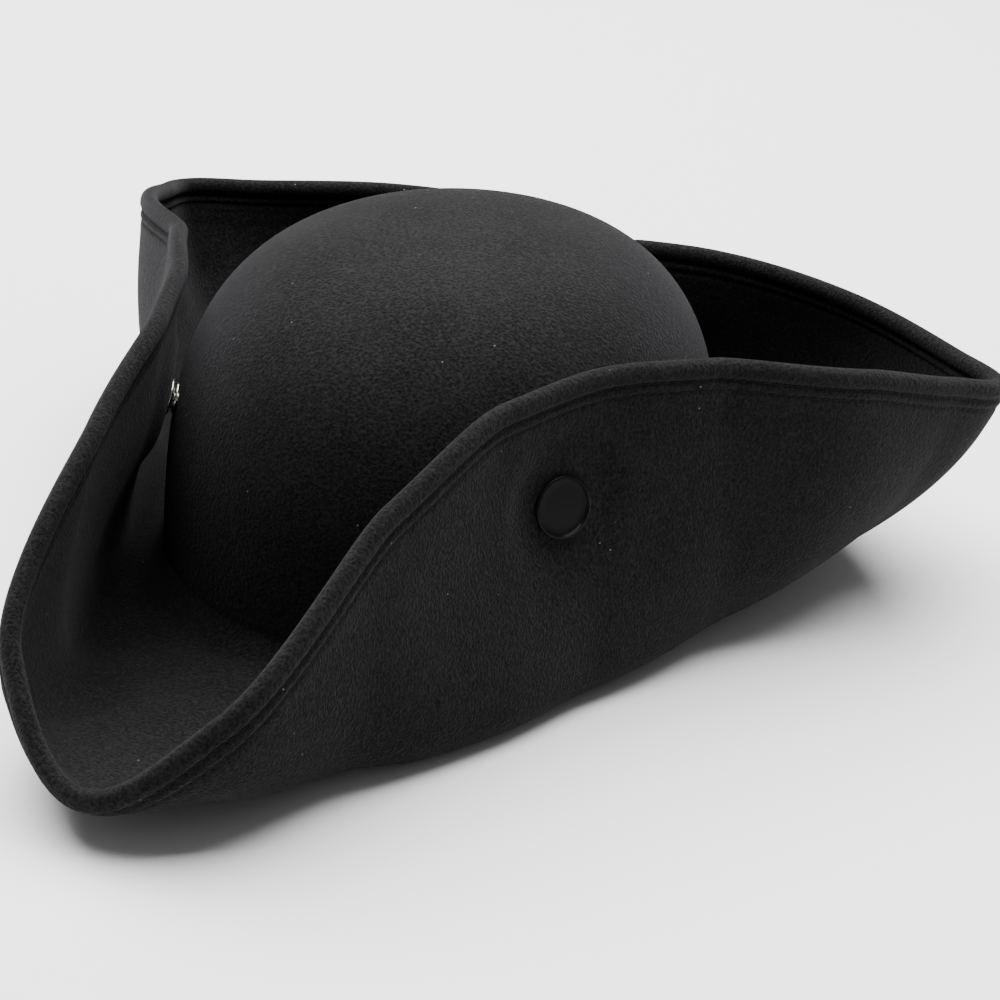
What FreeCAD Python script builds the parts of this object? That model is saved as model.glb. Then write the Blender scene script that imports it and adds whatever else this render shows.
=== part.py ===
import FreeCAD, Part

# A black wool-felt three-cornered hat.  Units are millimetres, +Z is up, and the origin is the middle of
# the head opening, in the plane where the head enters.  -Y is the wearer's front and +X the wearer's left.
# The felt blank is cut along its three fold lines so that each side can swing down once unsnapped.
import math
import os

import Sketcher
from FreeCAD import Matrix, Placement, Rotation, Vector

os.makedirs("parts", exist_ok=True)
doc = FreeCAD.newDocument("tricorn")

# ---------------------------------------------------------------- driving dimensions
SIZES = {
    # crown
    "crown_half_length": 103, "crown_half_width": 88, "crown_height": 115, "felt_thickness": 3,
    "crown_roundness": 2.75, "crown_flatness": 3.6,
    # the rim, by angle round the hat from the front point: how far out it reaches and how high it stands
    "front_point_angle": 0, "front_point_reach": 214, "front_point_level": 11,
    "spout_angle": 10, "spout_reach": 200, "spout_level": 37,
    "rise_angle": 20, "rise_reach": 144, "rise_level": 79,
    "shoulder_angle": 35, "shoulder_reach": 105, "shoulder_level": 95,
    "pinch_angle": 58, "pinch_reach": 90, "pinch_level": 98,
    "flank_angle": 80, "flank_reach": 97, "flank_level": 95,
    "flare_angle": 100, "flare_reach": 135, "flare_level": 87,
    "near_tip_angle": 112, "near_tip_reach": 162, "near_tip_level": 76,
    "tip_angle": 120, "tip_reach": 183, "tip_level": 68,
    "past_tip_angle": 128, "past_tip_reach": 176, "past_tip_level": 67,
    "back_flare_angle": 145, "back_flare_reach": 160, "back_flare_level": 70,
    "back_turn_angle": 162, "back_turn_reach": 141, "back_turn_level": 74,
    "back_mid_angle": 180, "back_mid_reach": 118, "back_mid_level": 77,
    # how the brim leaves the crown (foot, dip) and how it arrives at the rim (lean, drop), at seven angles
    "ridge_angle": 0, "ridge_foot": 90, "ridge_dip": 2, "ridge_lean": 1, "ridge_drop": 6,
    "gutter_angle": 25, "gutter_foot": 66, "gutter_dip": 19, "gutter_lean": 16, "gutter_drop": 59,
    "waist_angle": 55, "waist_foot": 25, "waist_dip": 9, "waist_lean": 10, "waist_drop": 69,
    "side_angle": 90, "side_foot": 20, "side_dip": 2, "side_lean": 15, "side_drop": 69,
    "keel_angle": 120, "keel_foot": 48, "keel_dip": 2, "keel_lean": -3, "keel_drop": 30,
    "quarter_angle": 145, "quarter_foot": 45, "quarter_dip": 3, "quarter_lean": 10, "quarter_drop": 60,
    "back_angle": 180, "back_foot": 24, "back_dip": 3, "back_lean": -6, "back_drop": 62,
    # each snap pulls the flap in towards the crown and clamps the felt flat round itself
    "side_snap_angle": 47, "side_snap_turn": 59, "snap_level": 60, "snap_tilt": 12,
    "side_pull": 7.5, "side_pull_middle": 40, "side_pull_angle": 13.5,
    "back_pull": 13, "back_pull_angle": 22, "pull_height": 26,
    "clamped_radius": 11, "clamp_fade_radius": 26,
    # fold lines: each flap is cut free between two corners and above its hinge
    "front_corner_half_angle": 9, "rear_corner_half_angle": 8, "cut_gap": 0.8,
    "side_hinge_angle": 56, "side_hinge_reach": 118, "side_hinge_level": 14,
    "side_hinge_front_out": 20, "side_hinge_front_level": 4,
    "back_hinge_reach": 133, "back_hinge_level": 14, "tip_margin": 12,
    # hem and wire
    "hem_radius": 3.1, "hem_bore_radius": 1.15, "wire_radius": 0.8,
    "joiner_radius": 1.1, "joiner_bore_radius": 0.85, "joiner_angle": 3.5,
    # snap fasteners, each measured along its own axis from the flap's middle layer
    "cap_radius": 9.2, "cap_edge_radius": 9.9, "cap_seat": 2.1, "cap_edge_top": 2.6, "cap_lip_top": 3.3,
    "cap_lip_radius": 9.0, "cap_well_radius": 8.5, "cap_well_floor": 2.5,
    "shank_radius": 1.9, "shank_end": -1.65,
    "socket_top": -1.75, "socket_floor": -2.05, "socket_mouth": -3.2, "socket_radius": 5.8,
    "socket_bore_radius": 2.7,
    "ball_top": -2.3, "ball_neck": -2.9, "ball_radius": 1.8, "neck_radius": 1.5,
    "stud_top": -3.6, "stud_seat": -4.1, "stud_radius": 5.0, "post_radius": 1.9, "post_end": -8.75,
    "eyelet_seat": -8.1, "eyelet_end": -8.7, "eyelet_radius": 5.0, "eyelet_bore_radius": 2.0,
    # sweatband
    "band_height": 30, "band_thickness": 1.2, "band_gap": 0.4, "band_lift": 0.5,
}

sheet = doc.addObject("Spreadsheet::Sheet", "Sizes")
for row, (alias, value) in enumerate(SIZES.items(), start=1):
    sheet.set("A%d" % row, alias)
    sheet.set("B%d" % row, str(value))
    sheet.setAlias("B%d" % row, alias)
doc.recompute()


VALUES = {alias: float(getattr(sheet, alias)) for alias in SIZES}


def size(alias):
    """A driving dimension, as the sheet gives it."""
    return VALUES[alias]


# ---------------------------------------------------------------- the felt's shape, as a rule
RIM_STATIONS = ["front_point", "spout", "rise", "shoulder", "pinch", "flank", "flare", "near_tip", "tip",
                "past_tip", "back_flare", "back_turn", "back_mid"]
FOLD_STATIONS = ["ridge", "gutter", "waist", "side", "keel", "quarter", "back"]
HALF_TURN = 180


def stations(names, measure):
    """(angle, value) pairs of one measure, read from the sheet."""
    return [(size(name + "_angle"), size(name + "_" + measure)) for name in names]


def eased(pairs, angle):
    """A smooth curve through the pairs that never overshoots them and is level at both ends."""
    angle = min(max(angle, pairs[0][0]), pairs[-1][0])
    spans = [b[0] - a[0] for a, b in zip(pairs, pairs[1:])]
    rises = [(b[1] - a[1]) / span for a, b, span in zip(pairs, pairs[1:], spans)]
    slopes = [0.0]
    for before, after, left, right in zip(rises, rises[1:], spans, spans[1:]):
        if before * after <= 0:
            slopes.append(0.0)
        else:
            heavy, light = 2 * right + left, right + 2 * left
            slopes.append((heavy + light) / (heavy / before + light / after))
    slopes.append(0.0)
    i = 0
    while i < len(spans) - 1 and angle > pairs[i + 1][0]:
        i += 1
    part = (angle - pairs[i][0]) / spans[i]
    rest = 1 - part
    return (pairs[i][1] * rest * rest * (1 + 2 * part) + pairs[i + 1][1] * part * part * (1 + 2 * rest)
            + spans[i] * part * rest * (slopes[i] * rest - slopes[i + 1] * part))


RIM = {measure: stations(RIM_STATIONS, measure) for measure in ("reach", "level")}
FOLD = {measure: stations(FOLD_STATIONS, measure) for measure in ("foot", "dip", "lean", "drop")}


def crown_reach(angle):
    """Radius of the oval crown at its foot, at an angle from the front point."""
    turn = math.radians(angle)
    return 1 / math.hypot(math.sin(turn) / size("crown_half_width"),
                          math.cos(turn) / size("crown_half_length"))


def snap_pull(around, level):
    """How far a snap draws the felt in, fading out round it."""
    high = ((level - size("snap_level")) / size("pull_height")) ** 2
    side = ((around - size("side_pull_middle")) / size("side_pull_angle")) ** 2
    back = ((around - HALF_TURN) / size("back_pull_angle")) ** 2
    return size("side_pull") * math.exp(-side - high) + size("back_pull") * math.exp(-back - high)


def brim_section(angle, part):
    """(radius, level) on the brim's middle layer: part 0 is the crown's foot and part 1 is the rim."""
    around = abs((angle + HALF_TURN) % (2 * HALF_TURN) - HALF_TURN)
    reach, level = eased(RIM["reach"], around), eased(RIM["level"], around)
    base = crown_reach(angle)
    radii = [base, base + eased(FOLD["foot"], around), reach + eased(FOLD["lean"], around), reach]
    levels = [0, -eased(FOLD["dip"], around), level - eased(FOLD["drop"], around), level]
    rest = 1 - part
    weights = [rest ** 3, 3 * rest * rest * part, 3 * rest * part * part, part ** 3]
    radius = sum(w * r for w, r in zip(weights, radii))
    level = sum(w * z for w, z in zip(weights, levels))
    return radius - snap_pull(around, level), level


def polar(angle, reach, level):
    turn = math.radians(angle)
    return Vector(reach * math.sin(turn), -reach * math.cos(turn), level)


def snap_site(angle, facing):
    """Placement with its origin in the flap's middle layer and +Z along the snap, away from the crown."""
    low, high, close_enough = 0.5, 1.0, 0.0005
    while high - low > close_enough:
        middle = (low + high) / 2
        if brim_section(angle, middle)[1] < size("snap_level"):
            low = middle
        else:
            high = middle
    tilt = math.radians(size("snap_tilt"))
    outward = polar(facing, math.cos(tilt), math.sin(tilt))
    return Placement(polar(angle, *brim_section(angle, low)), Rotation(Vector(0, 0, 1), outward))


SNAPS = {
    "left": snap_site(size("side_snap_angle"), size("side_snap_turn")),
    "right": snap_site(-size("side_snap_angle"), -size("side_snap_turn")),
    "back": snap_site(HALF_TURN, HALF_TURN),
}
CLAMPS = [(site.Base, site.Rotation.multVec(Vector(0, 0, 1))) for site in SNAPS.values()]


def brim_point(angle, part):
    """A point of the middle layer, pressed flat where it is near a snap."""
    point = polar(angle, *brim_section(angle, part))
    fade = size("clamp_fade_radius") - size("clamped_radius")
    for centre, outward in CLAMPS:
        away = point - centre
        share = min(max((size("clamp_fade_radius") - away.Length) / fade, 0), 1)
        point = point - outward * (away.dot(outward) * share * share * (3 - 2 * share))
    return point


def brim_normal(angle, part):
    """Unit normal of the middle layer, pointing away from the crown."""
    step_angle, step_part = 0.25, 0.002
    along = brim_point(angle + step_angle, part) - brim_point(angle - step_angle, part)
    low, high = max(part - step_part, 0), min(part + step_part, 1)
    across = brim_point(angle, high) - brim_point(angle, low)
    normal = along.cross(across)
    return normal * (-1 / normal.Length)


RIM_STEP = 0.25
RIM_LINE = [(k * RIM_STEP, brim_point(k * RIM_STEP, 1)) for k in range(-80, 801)]


def last_part(angle):
    """Where the flat felt stops, just short of the rolled hem."""
    clearance, step, reach = 0.6, 0.004, 18
    rim = [point for at, point in RIM_LINE if abs(at - angle) < reach]
    part = 1.0
    while min((point - brim_point(angle, part)).Length for point in rim) < size("hem_radius") + clearance:
        part -= step
    return part


def add_shape(name, shape):
    feature = doc.addObject("Part::Feature", name)
    feature.Shape = shape
    return feature


def spline(points):
    """A curve through the points, with even knots so that a loft through many of them stays light."""
    last = len(points) - 1
    curve = Part.BSplineCurve()
    curve.interpolate(Points=points, Parameters=[k / last for k in range(last + 1)])
    return curve.toShape()


def brim_half():
    """The left half of the felt blank, lofted a little past its ends and trimmed on the middle plane."""
    half_felt = size("felt_thickness") / 2
    front, rise, waist = range(-3, 9, 3), range(9, 35, 2), range(35, 67, 3)
    flank, rear = range(68, 96, 5), range(96, HALF_TURN + 4, 3)
    rows, room = 20, 300
    sections = []
    for angle in [*front, *rise, *waist, *flank, *rear]:
        stop = last_part(angle)
        outer, inner = [], []
        for k in range(rows + 1):
            part = stop * k / rows
            middle, offset = brim_point(angle, part), brim_normal(angle, part) * half_felt
            outer.append(middle + offset)
            inner.append(middle - offset)
        inner.reverse()
        edges = [spline(outer), Part.makeLine(outer[-1], inner[0]),
                 spline(inner), Part.makeLine(inner[-1], outer[0])]
        sections.append(Part.Wire(edges))
    left_side = Part.makeBox(room, 2 * room, 2 * room, Vector(0, -room, -room))
    return Part.makeLoft(sections, True, False).common(left_side)


# ---------------------------------------------------------------- fold lines and hinges
REAR_TIP = polar(size("tip_angle"), size("tip_reach"), size("tip_level"))
SIDE_HINGE = polar(size("side_hinge_angle"), size("side_hinge_reach"), size("side_hinge_level"))
FRONT_END = polar(0, size("front_point_reach"), size("side_hinge_front_level"))
FRONT_END.x = size("side_hinge_front_out")
SIDE_AXIS = (SIDE_HINGE - FRONT_END).normalize()
BACK_HINGE = polar(HALF_TURN, size("back_hinge_reach"), size("back_hinge_level"))
BACK_AXIS = Vector(1, 0, 0)


def wedge(first, last, hinge, axis, across, gap):
    """The space above a flap's fold plane and between two angles, a gap wider on every side if asked."""
    far, steps, usual_reach = 600, 4, 150
    shift = math.degrees(gap / usual_reach)
    corners = [Vector(0, 0, -far)]
    for k in range(steps + 1):
        angle = first - shift + (last - first + 2 * shift) * k / steps
        corners.append(polar(angle, far, -far))
    corners.append(corners[0])
    prism = Part.Face(Part.makePolygon(corners)).extrude(Vector(0, 0, 2 * far))
    up = axis.cross(across).normalize()
    if up.z < 0:
        up = -up
    slab = Part.makeBox(4 * far, 4 * far, 2 * far, Vector(-2 * far, -2 * far, 0))
    slab.Placement = Placement(hinge - up * gap, Rotation(Vector(0, 0, 1), up))
    return prism.common(slab)


# A side's fold plane is level across its hinge, and the back's rises to just under the rear tips.
SIDE_ACROSS = Vector(-SIDE_AXIS.y, SIDE_AXIS.x, 0)
BACK_ACROSS = Vector(0, REAR_TIP.y, REAR_TIP.z - size("tip_margin")) - BACK_HINGE
SIDE_SPAN = (size("front_corner_half_angle"), size("tip_angle") - size("rear_corner_half_angle"))
BACK_SPAN = (size("tip_angle") + size("rear_corner_half_angle"), HALF_TURN)
GAP = size("cut_gap")


def cut_tool(name, base, tool):
    cut = doc.addObject("Part::Cut", name)
    cut.Base, cut.Tool = base, tool
    return cut


def common(name, base, tool):
    both = doc.addObject("Part::Common", name)
    both.Base, both.Tool = base, tool
    return both


def mirror_x(name, source):
    other = doc.addObject("Part::Mirroring", name)
    other.Source = source
    other.Normal = Vector(1, 0, 0)
    return other


def fused(name, first, second):
    joined = doc.addObject("Part::Fuse", name)
    joined.Base, joined.Tool = first, second
    joined.Refine = True
    return joined


pieces = {}


def keep(node, item):
    """Names a sub-part, so that it is checked and written."""
    item.Label = node
    pieces[node] = item
    return item


# ---------------------------------------------------------------- snap holes
def hole(name, site):
    """A round drill through the flap and the crown along a snap's axis."""
    length = 24
    drill = doc.addObject("Part::Cylinder", name)
    drill.setExpression("Radius", "Sizes.eyelet_bore_radius")
    drill.Height = length
    drill.Placement = site.multiply(Placement(Vector(0, 0, -length / 2), Rotation()))
    return drill


# ---------------------------------------------------------------- crown: a moulded dome of felt
def crown_shape():
    """The dome's wall is turned about Z as a squared-off curve, then narrowed to the head's oval."""
    round_power, flat_power = size("crown_roundness"), size("crown_flatness")
    steps, quarter_turn = 22, 90

    def profile(radius, height):
        points = []
        for k in range(steps + 1):
            turn = math.radians(quarter_turn * k / steps)
            up, out = math.sin(turn), math.cos(turn)
            scale = 1 / (up ** flat_power + out ** round_power) ** (1 / flat_power)
            level = min(up * scale, 1.0)
            points.append(Vector(radius * (1 - level ** flat_power) ** (1 / round_power), 0, height * level))
        points[0].z = 0
        points[-1].x = 0
        return points

    felt = size("felt_thickness")
    length = size("crown_half_length")
    outer = profile(length, size("crown_height"))
    inner = profile(length - felt, size("crown_height") - felt)
    outer_curve, inner_curve = Part.BSplineCurve(), Part.BSplineCurve()
    outer_curve.interpolate(outer)
    inner_curve.interpolate(inner)
    face = Part.Face(Part.Wire([
        outer_curve.toShape(), Part.makeLine(outer[-1], inner[-1]),
        inner_curve.toShape(), Part.makeLine(inner[0], outer[0])]))
    dome = face.revolve(Vector(), Vector(0, 0, 1), 2 * HALF_TURN)
    narrow = Matrix()
    narrow.A11 = size("crown_half_width") / length
    return dome.transformGeometry(narrow)


crown_plain = add_shape("CrownPlain", crown_shape())
crown_cut = crown_plain
for side, site in SNAPS.items():
    crown_cut = cut_tool("CrownHole_" + side, crown_cut, hole("CrownDrill_" + side, site))
keep("crown", crown_cut)

# ---------------------------------------------------------------- brim: ring, corners and three flaps
blank = add_shape("BrimBlank", brim_half())
side_room = add_shape("SideRoom", wedge(*SIDE_SPAN, SIDE_HINGE, SIDE_AXIS, SIDE_ACROSS, GAP))
back_room = add_shape("BackRoom", wedge(*BACK_SPAN, BACK_HINGE, BACK_AXIS, BACK_ACROSS, GAP))
base_half = cut_tool("BaseHalf", cut_tool("BaseLessSide", blank, side_room), back_room)
keep("brim_base", fused("BrimBase", base_half, mirror_x("BaseOther", base_half)))

side_tool = add_shape("SideTool", wedge(*SIDE_SPAN, SIDE_HINGE, SIDE_AXIS, SIDE_ACROSS, 0))
back_tool = add_shape("BackTool", wedge(*BACK_SPAN, BACK_HINGE, BACK_AXIS, BACK_ACROSS, 0))
left_plain = common("LeftPlain", blank, side_tool)
right_plain = mirror_x("RightPlain", left_plain)
back_half = common("BackHalf", blank, back_tool)
back_plain = fused("BackPlain", back_half, mirror_x("BackOther", back_half))
for side, plain in (("left", left_plain), ("right", right_plain), ("back", back_plain)):
    drill = hole("FlapDrill_" + side, SNAPS[side])
    keep(side + "_flap", cut_tool("Flap_" + side, plain, drill))


# ---------------------------------------------------------------- hem and wire along the rim
def rim_frame(angle):
    """Rim point, the direction towards the felt below it, and the direction square to both and the rim."""
    step, inside = 0.2, 0.96
    centre = brim_point(angle, 1)
    along = (brim_point(angle + step, 1) - brim_point(angle - step, 1)).normalize()
    felt_side = brim_point(angle, inside) - centre
    felt_side = (felt_side - along * felt_side.dot(along)).normalize()
    return centre, along.cross(felt_side), felt_side


def rim_loft(first, last, section):
    """A solid that follows the rim between two angles, lofted through square sections."""
    fewest, pitch = 8, 1.5
    count = max(fewest, int(abs(last - first) / pitch))
    return Part.makeLoft([section(*rim_frame(first + (last - first) * k / count))
                          for k in range(count + 1)], True, False)


def rolled_section(radius, bore):
    """A strip rolled nearly shut round the wire, with its slit towards the felt."""
    half_slit = 0.12

    def section(centre, across, felt_side):
        def at(reach, turn):
            return centre + (felt_side * math.cos(turn) + across * math.sin(turn)) * reach

        outer, inner = half_slit / radius, half_slit / bore
        return Part.Wire([
            Part.Arc(at(radius, outer), at(radius, math.pi), at(radius, -outer)).toShape(),
            Part.makeLine(at(radius, -outer), at(bore, -inner)),
            Part.Arc(at(bore, -inner), at(bore, math.pi), at(bore, inner)).toShape(),
            Part.makeLine(at(bore, inner), at(radius, outer))])
    return section


def round_section(radius):
    def section(centre, across, felt_side):
        ends = (centre + felt_side * radius, centre - felt_side * radius)
        return Part.Wire([
            Part.Arc(ends[0], centre + across * radius, ends[1]).toShape(),
            Part.Arc(ends[1], centre - across * radius, ends[0]).toShape()])
    return section


END_CLEARANCE = 1.3
EDGES = {
    "front_corner": (-SIDE_SPAN[0], SIDE_SPAN[0]),
    "left_flap": SIDE_SPAN,
    "left_rear_corner": (SIDE_SPAN[1], BACK_SPAN[0]),
    "back_flap": (BACK_SPAN[0], 2 * HALF_TURN - BACK_SPAN[0]),
}
rolled = rolled_section(size("hem_radius"), size("hem_bore_radius"))
round_bar = round_section(size("wire_radius"))
for edge, (first, last) in EDGES.items():
    for part_name, section in (("hem", rolled), ("wire", round_bar)):
        node = edge + "_" + part_name
        solid = rim_loft(first + END_CLEARANCE, last - END_CLEARANCE, section)
        kept = keep(node, add_shape(node.title(), solid))
        if edge.startswith("left"):
            keep(node.replace("left", "right"), mirror_x("Mirrored" + node.title(), kept))

crimped = rolled_section(size("joiner_radius"), size("joiner_bore_radius"))
keep("wire_joiner", add_shape("Joiner", rim_loft(HALF_TURN - size("joiner_angle"),
                                                 HALF_TURN + size("joiner_angle"), crimped)))


# ---------------------------------------------------------------- snap fasteners, turned pieces
def turned(node, outline, site):
    """A piece turned about its own Z from an outline of (radius, height) names in the sheet."""
    body = doc.addObject("PartDesign::Body", "Body_" + node)
    sketch = body.newObject("Sketcher::SketchObject", "Outline_" + node)
    plane = [item for item in body.Origin.OriginFeatures if item.Role == "XZ_Plane"][0]
    sketch.AttachmentSupport = [(plane, "")]
    sketch.MapMode = "FlatFace"

    def value(name):
        return 0.0 if name == "axis" else size(name)

    corners = [Vector(value(radius), value(height), 0) for radius, height in outline]
    count = len(corners)
    for k in range(count):
        sketch.addGeometry(Part.LineSegment(corners[k], corners[(k + 1) % count]), False)
    for k in range(count):
        sketch.addConstraint(Sketcher.Constraint("Coincident", k, 2, (k + 1) % count, 1))
    for k, (radius, height) in enumerate(outline):
        if radius == "axis":
            sketch.addConstraint(Sketcher.Constraint("PointOnObject", k, 1, -2))
        else:
            place = sketch.addConstraint(Sketcher.Constraint("DistanceX", -1, 1, k, 1, value(radius)))
            sketch.setExpression("Constraints[%d]" % place, "Sizes." + radius)
        rise = sketch.addConstraint(Sketcher.Constraint("DistanceY", -1, 1, k, 1, value(height)))
        sketch.setExpression("Constraints[%d]" % rise, "Sizes." + height)
    spin = body.newObject("PartDesign::Revolution", "Spin_" + node)
    spin.Profile = sketch
    spin.ReferenceAxis = (sketch, ["V_Axis"])
    spin.Angle = 2 * HALF_TURN
    body.Tip = spin
    body.Placement = site
    return keep(node, body)


OUTLINES = {
    "snap_cap": [
        ("axis", "shank_end"), ("shank_radius", "shank_end"), ("shank_radius", "cap_seat"),
        ("cap_radius", "cap_seat"), ("cap_edge_radius", "cap_edge_top"), ("cap_lip_radius", "cap_lip_top"),
        ("cap_well_radius", "cap_well_floor"), ("axis", "cap_well_floor")],
    "snap_socket": [
        ("axis", "socket_top"), ("socket_radius", "socket_top"), ("socket_radius", "socket_mouth"),
        ("socket_bore_radius", "socket_mouth"), ("socket_bore_radius", "socket_floor"),
        ("axis", "socket_floor")],
    "snap_stud": [
        ("axis", "ball_top"), ("neck_radius", "ball_top"), ("ball_radius", "ball_neck"),
        ("neck_radius", "stud_top"), ("stud_radius", "stud_top"), ("stud_radius", "stud_seat"),
        ("post_radius", "stud_seat"), ("post_radius", "post_end"), ("axis", "post_end")],
    "snap_eyelet": [
        ("eyelet_bore_radius", "eyelet_seat"), ("eyelet_radius", "eyelet_seat"),
        ("eyelet_radius", "eyelet_end"), ("eyelet_bore_radius", "eyelet_end")],
}
for side, site in SNAPS.items():
    for piece, outline in OUTLINES.items():
        turned(side + "_" + piece, outline, site)


# ---------------------------------------------------------------- sweatband inside the head opening
def oval(name, inset_expression, height_expression, base_expression):
    """An upright oval block whose plan is the crown's, inset by the felt and a clearance."""
    plan = doc.addObject("Part::Ellipse", name + "Plan")
    plan.setExpression("MajorRadius", "Sizes.crown_half_length - " + inset_expression)
    plan.setExpression("MinorRadius", "Sizes.crown_half_width - " + inset_expression)
    plan.Placement = Placement(Vector(), Rotation(Vector(0, 0, 1), 90))
    plan.setExpression("Placement.Base.z", base_expression)
    block = doc.addObject("Part::Extrusion", name)
    block.Base = plan
    block.DirMode = "Custom"
    block.Dir = Vector(0, 0, 1)
    block.Solid = True
    block.setExpression("LengthFwd", height_expression)
    return block


band_outside = oval("BandOutside", "Sizes.felt_thickness - Sizes.band_gap", "Sizes.band_height",
                    "Sizes.band_lift")
band_inside = oval("BandInside", "Sizes.felt_thickness - Sizes.band_gap - Sizes.band_thickness",
                   "Sizes.band_height * 2", "Sizes.band_lift - Sizes.band_height / 2")
keep("sweatband", cut_tool("Sweatband", band_outside, band_inside))

# ---------------------------------------------------------------- check and write
doc.recompute()
faults = [item.Name for item in doc.Objects if "Invalid" in item.State or "Error" in item.State]
for node, item in pieces.items():
    shape = item.Shape
    if shape.isNull() or not shape.isValid() or not shape.Solids:
        faults.append(node)
if faults:
    raise SystemExit("not sound: " + ", ".join(faults))
for node, item in pieces.items():
    item.Shape.exportStep("parts/%s.step" % node)
    print("%-24s solids %d  volume %.0f mm3" % (node, len(item.Shape.Solids), item.Shape.Volume))
print("side hinge", SIDE_HINGE, "axis", SIDE_AXIS)
print("back hinge", BACK_HINGE, "axis", BACK_AXIS)
for side, site in SNAPS.items():
    print(side, "snap", site.Base, "reach", math.hypot(site.Base.x, site.Base.y))
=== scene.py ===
import math

import bmesh
import bpy
import numpy as np
from mathutils import Matrix, Vector


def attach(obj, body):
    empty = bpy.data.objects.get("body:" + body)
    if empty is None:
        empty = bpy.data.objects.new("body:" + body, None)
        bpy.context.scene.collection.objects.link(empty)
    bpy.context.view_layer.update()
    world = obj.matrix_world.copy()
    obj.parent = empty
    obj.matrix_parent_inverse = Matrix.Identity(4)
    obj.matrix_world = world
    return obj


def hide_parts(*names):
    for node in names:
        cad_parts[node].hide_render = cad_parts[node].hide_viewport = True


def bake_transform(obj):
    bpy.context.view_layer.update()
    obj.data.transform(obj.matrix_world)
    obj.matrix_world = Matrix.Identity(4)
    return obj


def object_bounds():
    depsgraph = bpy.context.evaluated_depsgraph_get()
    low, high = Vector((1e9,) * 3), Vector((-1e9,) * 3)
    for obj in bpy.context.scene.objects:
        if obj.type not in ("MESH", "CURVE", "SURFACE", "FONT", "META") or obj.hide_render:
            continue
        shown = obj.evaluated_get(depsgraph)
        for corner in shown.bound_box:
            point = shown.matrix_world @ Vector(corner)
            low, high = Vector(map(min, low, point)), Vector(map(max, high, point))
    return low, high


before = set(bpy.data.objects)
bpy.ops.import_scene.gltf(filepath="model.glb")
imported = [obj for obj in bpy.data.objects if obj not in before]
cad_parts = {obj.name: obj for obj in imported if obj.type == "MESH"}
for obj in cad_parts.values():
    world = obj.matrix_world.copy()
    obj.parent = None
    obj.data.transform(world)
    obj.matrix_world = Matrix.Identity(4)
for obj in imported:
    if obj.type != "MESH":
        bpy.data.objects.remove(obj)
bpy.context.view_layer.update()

# ------------------------------------------------------------------ brim felt
# The brim is one sheet of black wool felt, 3 mm thick, blocked while wet into an oval that is cocked on
# three sides.  It is laid out here as six fields that meet on the three corner ridges and in the middle of
# each turned-up side.
FELT = 0.003
CROWN_HALF_LENGTH = 0.103
CROWN_HALF_WIDTH = 0.088
HALF_TURN = 180

# the rim, by angle from the front point: how far out it reaches and how high it stands
RIM = [(0, .214, .011), (10, .200, .037), (20, .144, .079), (35, .105, .095), (58, .090, .098),
       (80, .097, .095), (100, .135, .087), (112, .162, .076), (120, .183, .068), (128, .176, .067),
       (145, .160, .070), (162, .141, .074), (180, .118, .077)]
# how the felt leaves the crown (foot, dip) and how it arrives at the rim (lean, drop), by angle
FOLD = [(0, .090, .002, .001, .006), (25, .066, .019, .016, .059), (55, .025, .009, .010, .069),
        (90, .020, .002, .015, .069), (120, .048, .002, -.003, .030), (145, .045, .003, .010, .060),
        (180, .024, .003, -.006, .062)]
# each snap draws the felt in, fading out round it, and clamps it flat right beside itself
SNAP_LEVEL = 0.060
SNAP_TILT = 12
SIDE_PULL = (0.0075, 40, 13.5)
BACK_PULL = (0.013, HALF_TURN, 22)
PULL_HEIGHT = 0.026
CLAMPED_RADIUS = 0.011
CLAMP_FADE_RADIUS = 0.026
# by snap: its angle round the hat, and the angle that it faces
SNAPS = {"left": (47, 59), "right": (-47, -59), "back": (HALF_TURN, HALF_TURN)}


def eased(stations, column, angles):
    """A smooth curve through one column of the stations, without overshoot and level at both ends."""
    table = np.array(stations, float)
    at, value = table[:, 0], table[:, column]
    spans = np.diff(at)
    rises = np.diff(value) / spans
    before, after = rises[:-1], rises[1:]
    left, right = spans[:-1], spans[1:]
    same_way = before * after > 0
    heavy, light = 2 * right + left, right + 2 * left
    steep = heavy / np.where(same_way, before, 1) + light / np.where(same_way, after, 1)
    slopes = np.concatenate([[0], np.where(same_way, (heavy + light) / steep, 0), [0]])
    i = np.clip(np.searchsorted(at, angles) - 1, 0, len(spans) - 1)
    part = (angles - at[i]) / spans[i]
    rest = 1 - part
    return (value[i] * rest ** 2 * (1 + 2 * part) + value[i + 1] * part ** 2 * (1 + 2 * rest)
            + spans[i] * part * rest * (slopes[i] * rest - slopes[i + 1] * part))


def crown_reach(angles):
    """Radius of the oval crown at its foot."""
    turn = np.radians(angles)
    return 1 / np.hypot(np.sin(turn) / CROWN_HALF_WIDTH, np.cos(turn) / CROWN_HALF_LENGTH)


def free_middle(angles, parts):
    """The felt's middle layer before the snaps clamp it, from the crown at part 0 to the rim at part 1."""
    around = np.abs((angles + HALF_TURN) % (2 * HALF_TURN) - HALF_TURN)
    reach, level = eased(RIM, 1, around), eased(RIM, 2, around)
    foot, dip, lean, drop = (eased(FOLD, column, around) for column in (1, 2, 3, 4))
    base = crown_reach(angles)
    rest = 1 - parts
    weights = [rest ** 3, 3 * rest ** 2 * parts, 3 * rest * parts ** 2, parts ** 3]
    radius = sum(w * r for w, r in zip(weights, (base, base + foot, reach + lean, reach)))
    height = sum(w * z for w, z in zip(weights, (0, -dip, level - drop, level)))
    high = ((height - SNAP_LEVEL) / PULL_HEIGHT) ** 2
    for pull, at, width in (SIDE_PULL, BACK_PULL):
        radius = radius - pull * np.exp(-((around - at) / width) ** 2 - high)
    turn = np.radians(angles)
    return np.stack([radius * np.sin(turn), -radius * np.cos(turn), height], axis=-1)


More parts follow.
